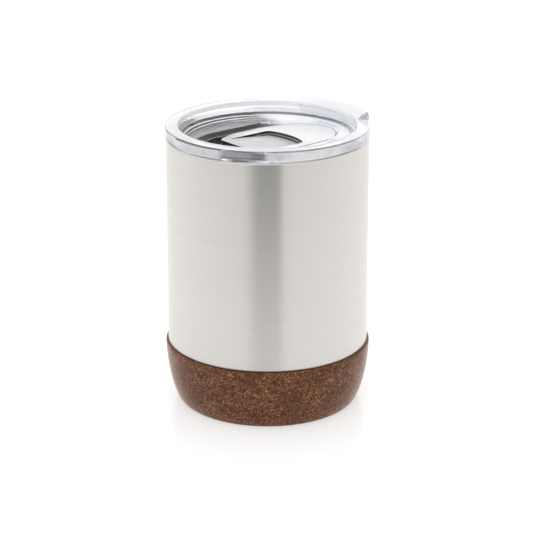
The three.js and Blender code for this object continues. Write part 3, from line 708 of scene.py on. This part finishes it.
def lip_and_tab(r, z, degrees):
    """Lifts the ring's top into the drinking lip and pushes its wall out into the tab."""
    turn = (degrees + 180) % 360 - 180
    in_lip = 1 - ramp_between(abs(turn), LIP_HALF_ANGLE - LIP_BLEND, LIP_HALF_ANGLE + LIP_BLEND)
    outward = ramp_between(r, RING_INNER_R - RING_EDGE, RING_R - RING_EDGE)
    upward = ramp_between(z, RING_TOP_Z - LIP_DEPTH, RING_TOP_Z - 0.2)
    along = r * math.sin(math.radians(turn)) / (RING_R * math.sin(math.radians(LIP_HALF_ANGLE)))
    share = (1 - max(-1, min(along, 1))) / 2
    rise = LIP_LOW_RISE + (LIP_HIGH_RISE - LIP_LOW_RISE) * share
    across = ramp_between(degrees, TAB_FROM - TAB_BLEND_OUT, TAB_FROM + TAB_BLEND_IN)
    across *= 1 - ramp_between(degrees, TAB_TO - TAB_BLEND_IN, TAB_TO + TAB_BLEND_OUT)
    tall = ramp_between(z, RING_LOW_Z + TAB_EDGE, RING_LOW_Z + TAB_FULL)
    tall *= 1 - ramp_between(z, RING_TOP_Z - TAB_FULL, RING_TOP_Z - TAB_EDGE)
    on_wall = 1 if r > RING_R - 0.2 else 0
    return r + TAB_OUT * across * tall * on_wall, z + rise * in_lip * outward * upward


def lid_loop():
    """Section of the lid, with spare points on the ring's top and wall for the lip and the tab to move."""
    under = WELL_FLOOR_Z - WELL_FLOOR_THICK
    plug_inner_r = PLUG_R - PLUG_WALL
    top = [(RING_INNER_R + step, RING_TOP_Z, 0) for step in RING_TOP_STEPS]
    down = [RING_WALL_START + RING_WALL_STEP * i for i in range(RING_WALL_POINTS)]
    corners = [
        (RING_INNER_R, RING_TOP_Z, 0.7),
        *top,
        (RING_R, RING_TOP_Z, RING_EDGE),
        *[(RING_R, RING_TOP_Z - step, 0) for step in down],
        (RING_R, RING_LOW_Z, 0.5),
        (PLUG_R, RING_LOW_Z, 0.3),
        (PLUG_R, GROOVE_TOP_Z, 0.2),
        (GROOVE_R, GROOVE_TOP_Z, 0.15),
        (GROOVE_R, GROOVE_LOW_Z, 0.15),
        (PLUG_R, GROOVE_LOW_Z, 0.2),
        (PLUG_R, PLUG_LOW_Z, 0.6),
        (plug_inner_r, PLUG_LOW_Z, 0.5),
        (plug_inner_r, under, 0.5),
        (0, under, 0),
        (0, WELL_FLOOR_Z, 0),
        (WELL_FLOOR_R + 0.5, WELL_FLOOR_Z, 1.2),
        (RING_INNER_R - 0.3, RING_TOP_Z - 1.9, 0.5),
    ]
    return filleted(corners)


def stem_slot():
    """Slot that the slider's stem goes through, as long as the slider's travel needs."""
    front = STEM_X + STEM_HALF_LENGTH + STEM_GAP
    rear = STEM_X - STEM_HALF_LENGTH - STEM_GAP - SLIDER_TRAVEL
    half = STEM_HALF_WIDTH + STEM_GAP
    corners = ((front, -half), (front, half), (rear, half), (rear, -half))
    return filleted([(x, y, SLOT_CORNER) for x, y in corners])


def lid_body():
    """Ring, well and plug in one, with the slider's tray and channel, the drinking hole and the slot."""
    piece = to_object("lid_body_clear", turned(lid_loop(), lid_angles(), lip_and_tab))
    tray_low = CHANNEL_FLOOR_Z - TRAY_WALL
    tray = slider_outline(RUN_GAP + TRAY_WALL, SLIDER_TRAVEL)
    channel = slider_outline(RUN_GAP, SLIDER_TRAVEL)
    mouth = slider_outline(RUN_GAP + CHANNEL_SLOPE, SLIDER_TRAVEL)
    # each solid ends a little under or over the well's floor, so that no two faces lie in one plane
    combined(piece, prism(tray, tray_low, WELL_FLOOR_Z - 0.6), "UNION")
    combined(piece, prism(channel, CHANNEL_FLOOR_Z, WELL_FLOOR_Z + 0.3), "DIFFERENCE")
    combined(piece, tapered(channel, SLIDER_TOP_Z, mouth, WELL_FLOOR_Z + 0.02), "DIFFERENCE")
    for opening in (hole_outline(), stem_slot()):
        combined(piece, prism(opening, tray_low - PAST, CHANNEL_FLOOR_Z + PAST), "DIFFERENCE")
    return softened(piece, MOULD_EDGE)


def lid_seal():
    """Silicone ring in the plug's groove, with rounded ribs one over another."""
    low, high = bottom_of("lid_seal"), top_of("lid_seal")
    pitch = (high - low) / SEAL_RIBS
    loop = [(SEAL_INNER_R, low, 0.2), (SEAL_BODY_R, low, 0)]
    for i in range(SEAL_RIBS):
        loop += [
            (SEAL_BODY_R, low + pitch * i + RIB_FOOT, RIB_FOOT),
            (SEAL_R, low + pitch * (i + 0.5), RIB_CREST),
            (SEAL_BODY_R, low + pitch * (i + 1) - RIB_FOOT, RIB_FOOT),
        ]
    loop += [(SEAL_BODY_R, high, 0), (SEAL_INNER_R, high, 0.2)]
    return to_object("lid_seal_ring", turned(filleted(loop)))


# ---- the slider -----------------------------------------------------------------------------
def over_scoop_floor(outline):
    """Upright solid on the plane of the scoop's floor, which falls from the rear to the front wall."""
    bm = prism(outline, SLIDER_LOW_Z, SLIDER_TOP_Z + 3 * PAST)
    for vertex in bm.verts:
        if vertex.co.z < SLIDER_TOP_Z:
            share = (vertex.co.x - SCOOP_REAR_X) / (SCOOP_FRONT_X - SCOOP_REAR_X)
            vertex.co.z = SLIDER_TOP_Z - SCOOP_DEPTH * share
    return bm


def slider():
    """Plate with an elliptical nose, a thumb scoop with a stepped front wall, the pad's pocket and a stem."""
    piece = to_object("slider_milky", prism(slider_outline(), SLIDER_LOW_Z, SLIDER_TOP_Z))
    combined(piece, over_scoop_floor(scoop_outline(SCOOP_STEP)), "DIFFERENCE")
    step = to_object("step", prism(scoop_outline(0), SLIDER_TOP_Z - SCOOP_STEP_DEPTH, SLIDER_TOP_Z + PAST))
    wider_than_scoop = rectangle(0, SCOOP_FRONT_R, 2 * SCOOP_HALF)
    combined(step, over_scoop_floor(wider_than_scoop), "INTERSECT")
    modified(piece, "BOOLEAN", object=step, operation="DIFFERENCE", solver="EXACT")
    bpy.data.objects.remove(step)
    pocket = hole_outline(PAD_MARGIN + PAD_CLEARANCE)
    combined(piece, prism(pocket, SLIDER_LOW_Z - PAST, top_of("slider_pad") + PAD_ROOM), "DIFFERENCE")
    stem_low = bottom_of("slider")
    stem = rectangle(STEM_X, STEM_HALF_LENGTH, STEM_HALF_WIDTH)
    barbs = rectangle(STEM_X, STEM_HALF_LENGTH + BARB, STEM_HALF_WIDTH)
    combined(piece, prism(stem, stem_low, SLIDER_LOW_Z + 0.5), "UNION")
    combined(piece, prism(barbs, stem_low, stem_low + BARB_HEIGHT), "UNION")
    return softened(piece, SMALL_EDGE)


def slider_pad():
    """Soft pad in its pocket, a little larger than the drinking hole it closes."""
    outline = hole_outline(PAD_MARGIN)
    piece = to_object("slider_pad_soft", prism(outline, bottom_of("slider_pad"), top_of("slider_pad")))
    return softened(piece, SMALL_EDGE)


# ---- floor, light and camera ----------------------------------------------------------------
VIEW_TURN = -39.0  # degrees from looking along +Y to the picture's direction
CAMERA_DISTANCE, CAMERA_RISE = 0.788, 19.24  # metres and degrees, from the middle of the cup
CAMERA_AIM_Z = 0.0571
CAMERA_PITCH = 19.54  # degrees down
CAMERA_DRIFT = 0.074  # degrees to the right
CAMERA_LENS = 131.3
FLOOR_R = 0.30
FLOOR_DROP = 0.00002  # keeps it just clear of the cork's underside

# (degrees round from behind the camera, how bright the room is there)
ROOM_LIGHT = [
    (-180, 1.15), (-110, 1.1), (-60, 0.88), (-26, 0.74), (-18, 0.4), (-12, 0.03),
    (14, 0.02), (16.5, 0.76), (50, 0.88), (110, 1.1), (180, 1.15),
]
ROOM_TINT = (1, 0.995, 0.985)
OVERHEAD_LIGHT = 1.45
OVERHEAD_FROM, OVERHEAD_TO = 0.35, 0.75  # sines of the angles over the horizon where it takes over
BACKDROP = 1.1


def floor():
    """White table that gives off part of its light, so that it stays pale."""
    bm = bmesh.new()
    bmesh.ops.create_circle(bm, cap_ends=True, radius=FLOOR_R, segments=128)
    bmesh.ops.translate(bm, vec=(0, 0, -FLOOR_DROP), verts=bm.verts)
    mesh = bpy.data.meshes.new("floor")
    bm.to_mesh(mesh)
    bm.free()
    sheet = bpy.data.objects.new("floor", mesh)
    bpy.context.scene.collection.objects.link(sheet)
    n = Nodes(bpy.data.materials.new("white_table"))
    n.set(Base_Color=(0.5, 0.5, 0.497, 1), Roughness=0.2, Specular_IOR_Level=0.4)
    n.set(Emission_Color=(1, 1, 0.995, 1), Emission_Strength=0.5)
    mesh.materials.append(n.owner)


def studio_light():
    """White room with a dark gap behind the camera, which the steel shows as its dark band. The camera
    itself sees a plain white backdrop."""
    world = bpy.data.worlds.new("studio")
    bpy.context.scene.world = world
    n = Nodes(world, "Background")
    direction = n.add("ShaderNodeTexCoord").outputs["Generated"]
    turned_round = {"Vector": direction, "Rotation": (0, 0, -math.radians(VIEW_TURN))}
    facing = n.add("ShaderNodeMapping", turned_round, vector_type="POINT").outputs[0]
    x, y, z = n.add("ShaderNodeSeparateXYZ", {"Vector": facing}).outputs
    angle = n.math("ARCTAN2", x, n.math("MULTIPLY", y, -1.0))
    share = n.math("MULTIPLY_ADD", angle, 1 / math.tau, 0.5)
    stops = [(degrees / 360 + 0.5, [value * c for c in ROOM_TINT]) for degrees, value in ROOM_LIGHT]
    overhead = n.rising(z, OVERHEAD_FROM, OVERHEAD_TO)
    room = n.mix(overhead, n.ramp(share, stops), grey(OVERHEAD_LIGHT))
    seen = n.add("ShaderNodeLightPath").outputs["Is Camera Ray"]
    n.set(Color=n.mix(seen, room, grey(BACKDROP)))


def camera():
    """The picture's view of the cup, through a long lens."""
    turn, rise = math.radians(VIEW_TURN), math.radians(CAMERA_RISE)
    flat = CAMERA_DISTANCE * math.cos(rise)
    height = CAMERA_AIM_Z + CAMERA_DISTANCE * math.sin(rise)
    data = bpy.data.cameras.new("camera")
    data.sensor_width = 36.0
    data.lens = CAMERA_LENS
    data.clip_start = 0.01
    view = bpy.data.objects.new("camera", data)
    view.location = (flat * math.sin(turn), -flat * math.cos(turn), height)
    tip = math.pi / 2 - math.radians(CAMERA_PITCH)
    view.rotation_euler = (tip, 0, turn - math.radians(CAMERA_DRIFT))
    bpy.context.scene.collection.objects.link(view)
    bpy.context.scene.camera = view


# ---- assembly -------------------------------------------------------------------------------
steel = brushed_steel("brushed_steel_outside", (0.68, 0.66, 0.635), 0.33, 0.6)
liner_steel = brushed_steel("brushed_steel_inside", (0.62, 0.62, 0.61), 0.26, 0.6)
bead_steel = cast_metal("polished_weld", (0.75, 0.75, 0.74), 0.16, 900.0)
plate_steel = cast_metal("plain_sheet", (0.6, 0.6, 0.59), 0.25, 300.0)
slider_plastic = milky_plastic("milky_slider_plastic")
seal_silicone = silicone()

placed(outer_shell(), "cup", "outer_shell", steel)
placed(inner_liner(), "cup", "inner_liner", liner_steel)
placed(rim_bead(), "cup", "rim_weld_bead", bead_steel)
placed(cork_base(), "cup", "cork_base", cork())
placed(lid_body(), "lid", "lid_body", lid_plastic())
placed(lid_seal(), "seal", "lid_seal", seal_silicone)
placed(slider(), "slide", "slider", slider_plastic)
placed(slider_pad(), "slide", "slider_pad", seal_silicone)

hidden_finishes = {
    "vacuum_base_plate": plate_steel,
    "base_weld_bead": bead_steel,
    "port_solder_seal": cast_metal("soft_solder", (0.55, 0.55, 0.53), 0.35, 800.0),
    "getter_pill": cast_metal("getter_powder", (0.3, 0.3, 0.31), 0.6, 1500.0),
    "getter_clip": plate_steel,
    "cork_adhesive": cured_glue(),
    "base_adhesive_pad": cured_glue(),
    "slider_clip": slider_plastic,
}
for node, material in hidden_finishes.items():
    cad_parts[node].data.materials.clear()
    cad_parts[node].data.materials.append(material)

floor()
studio_light()
camera()
bpy.context.scene.view_settings.view_transform = "Standard"
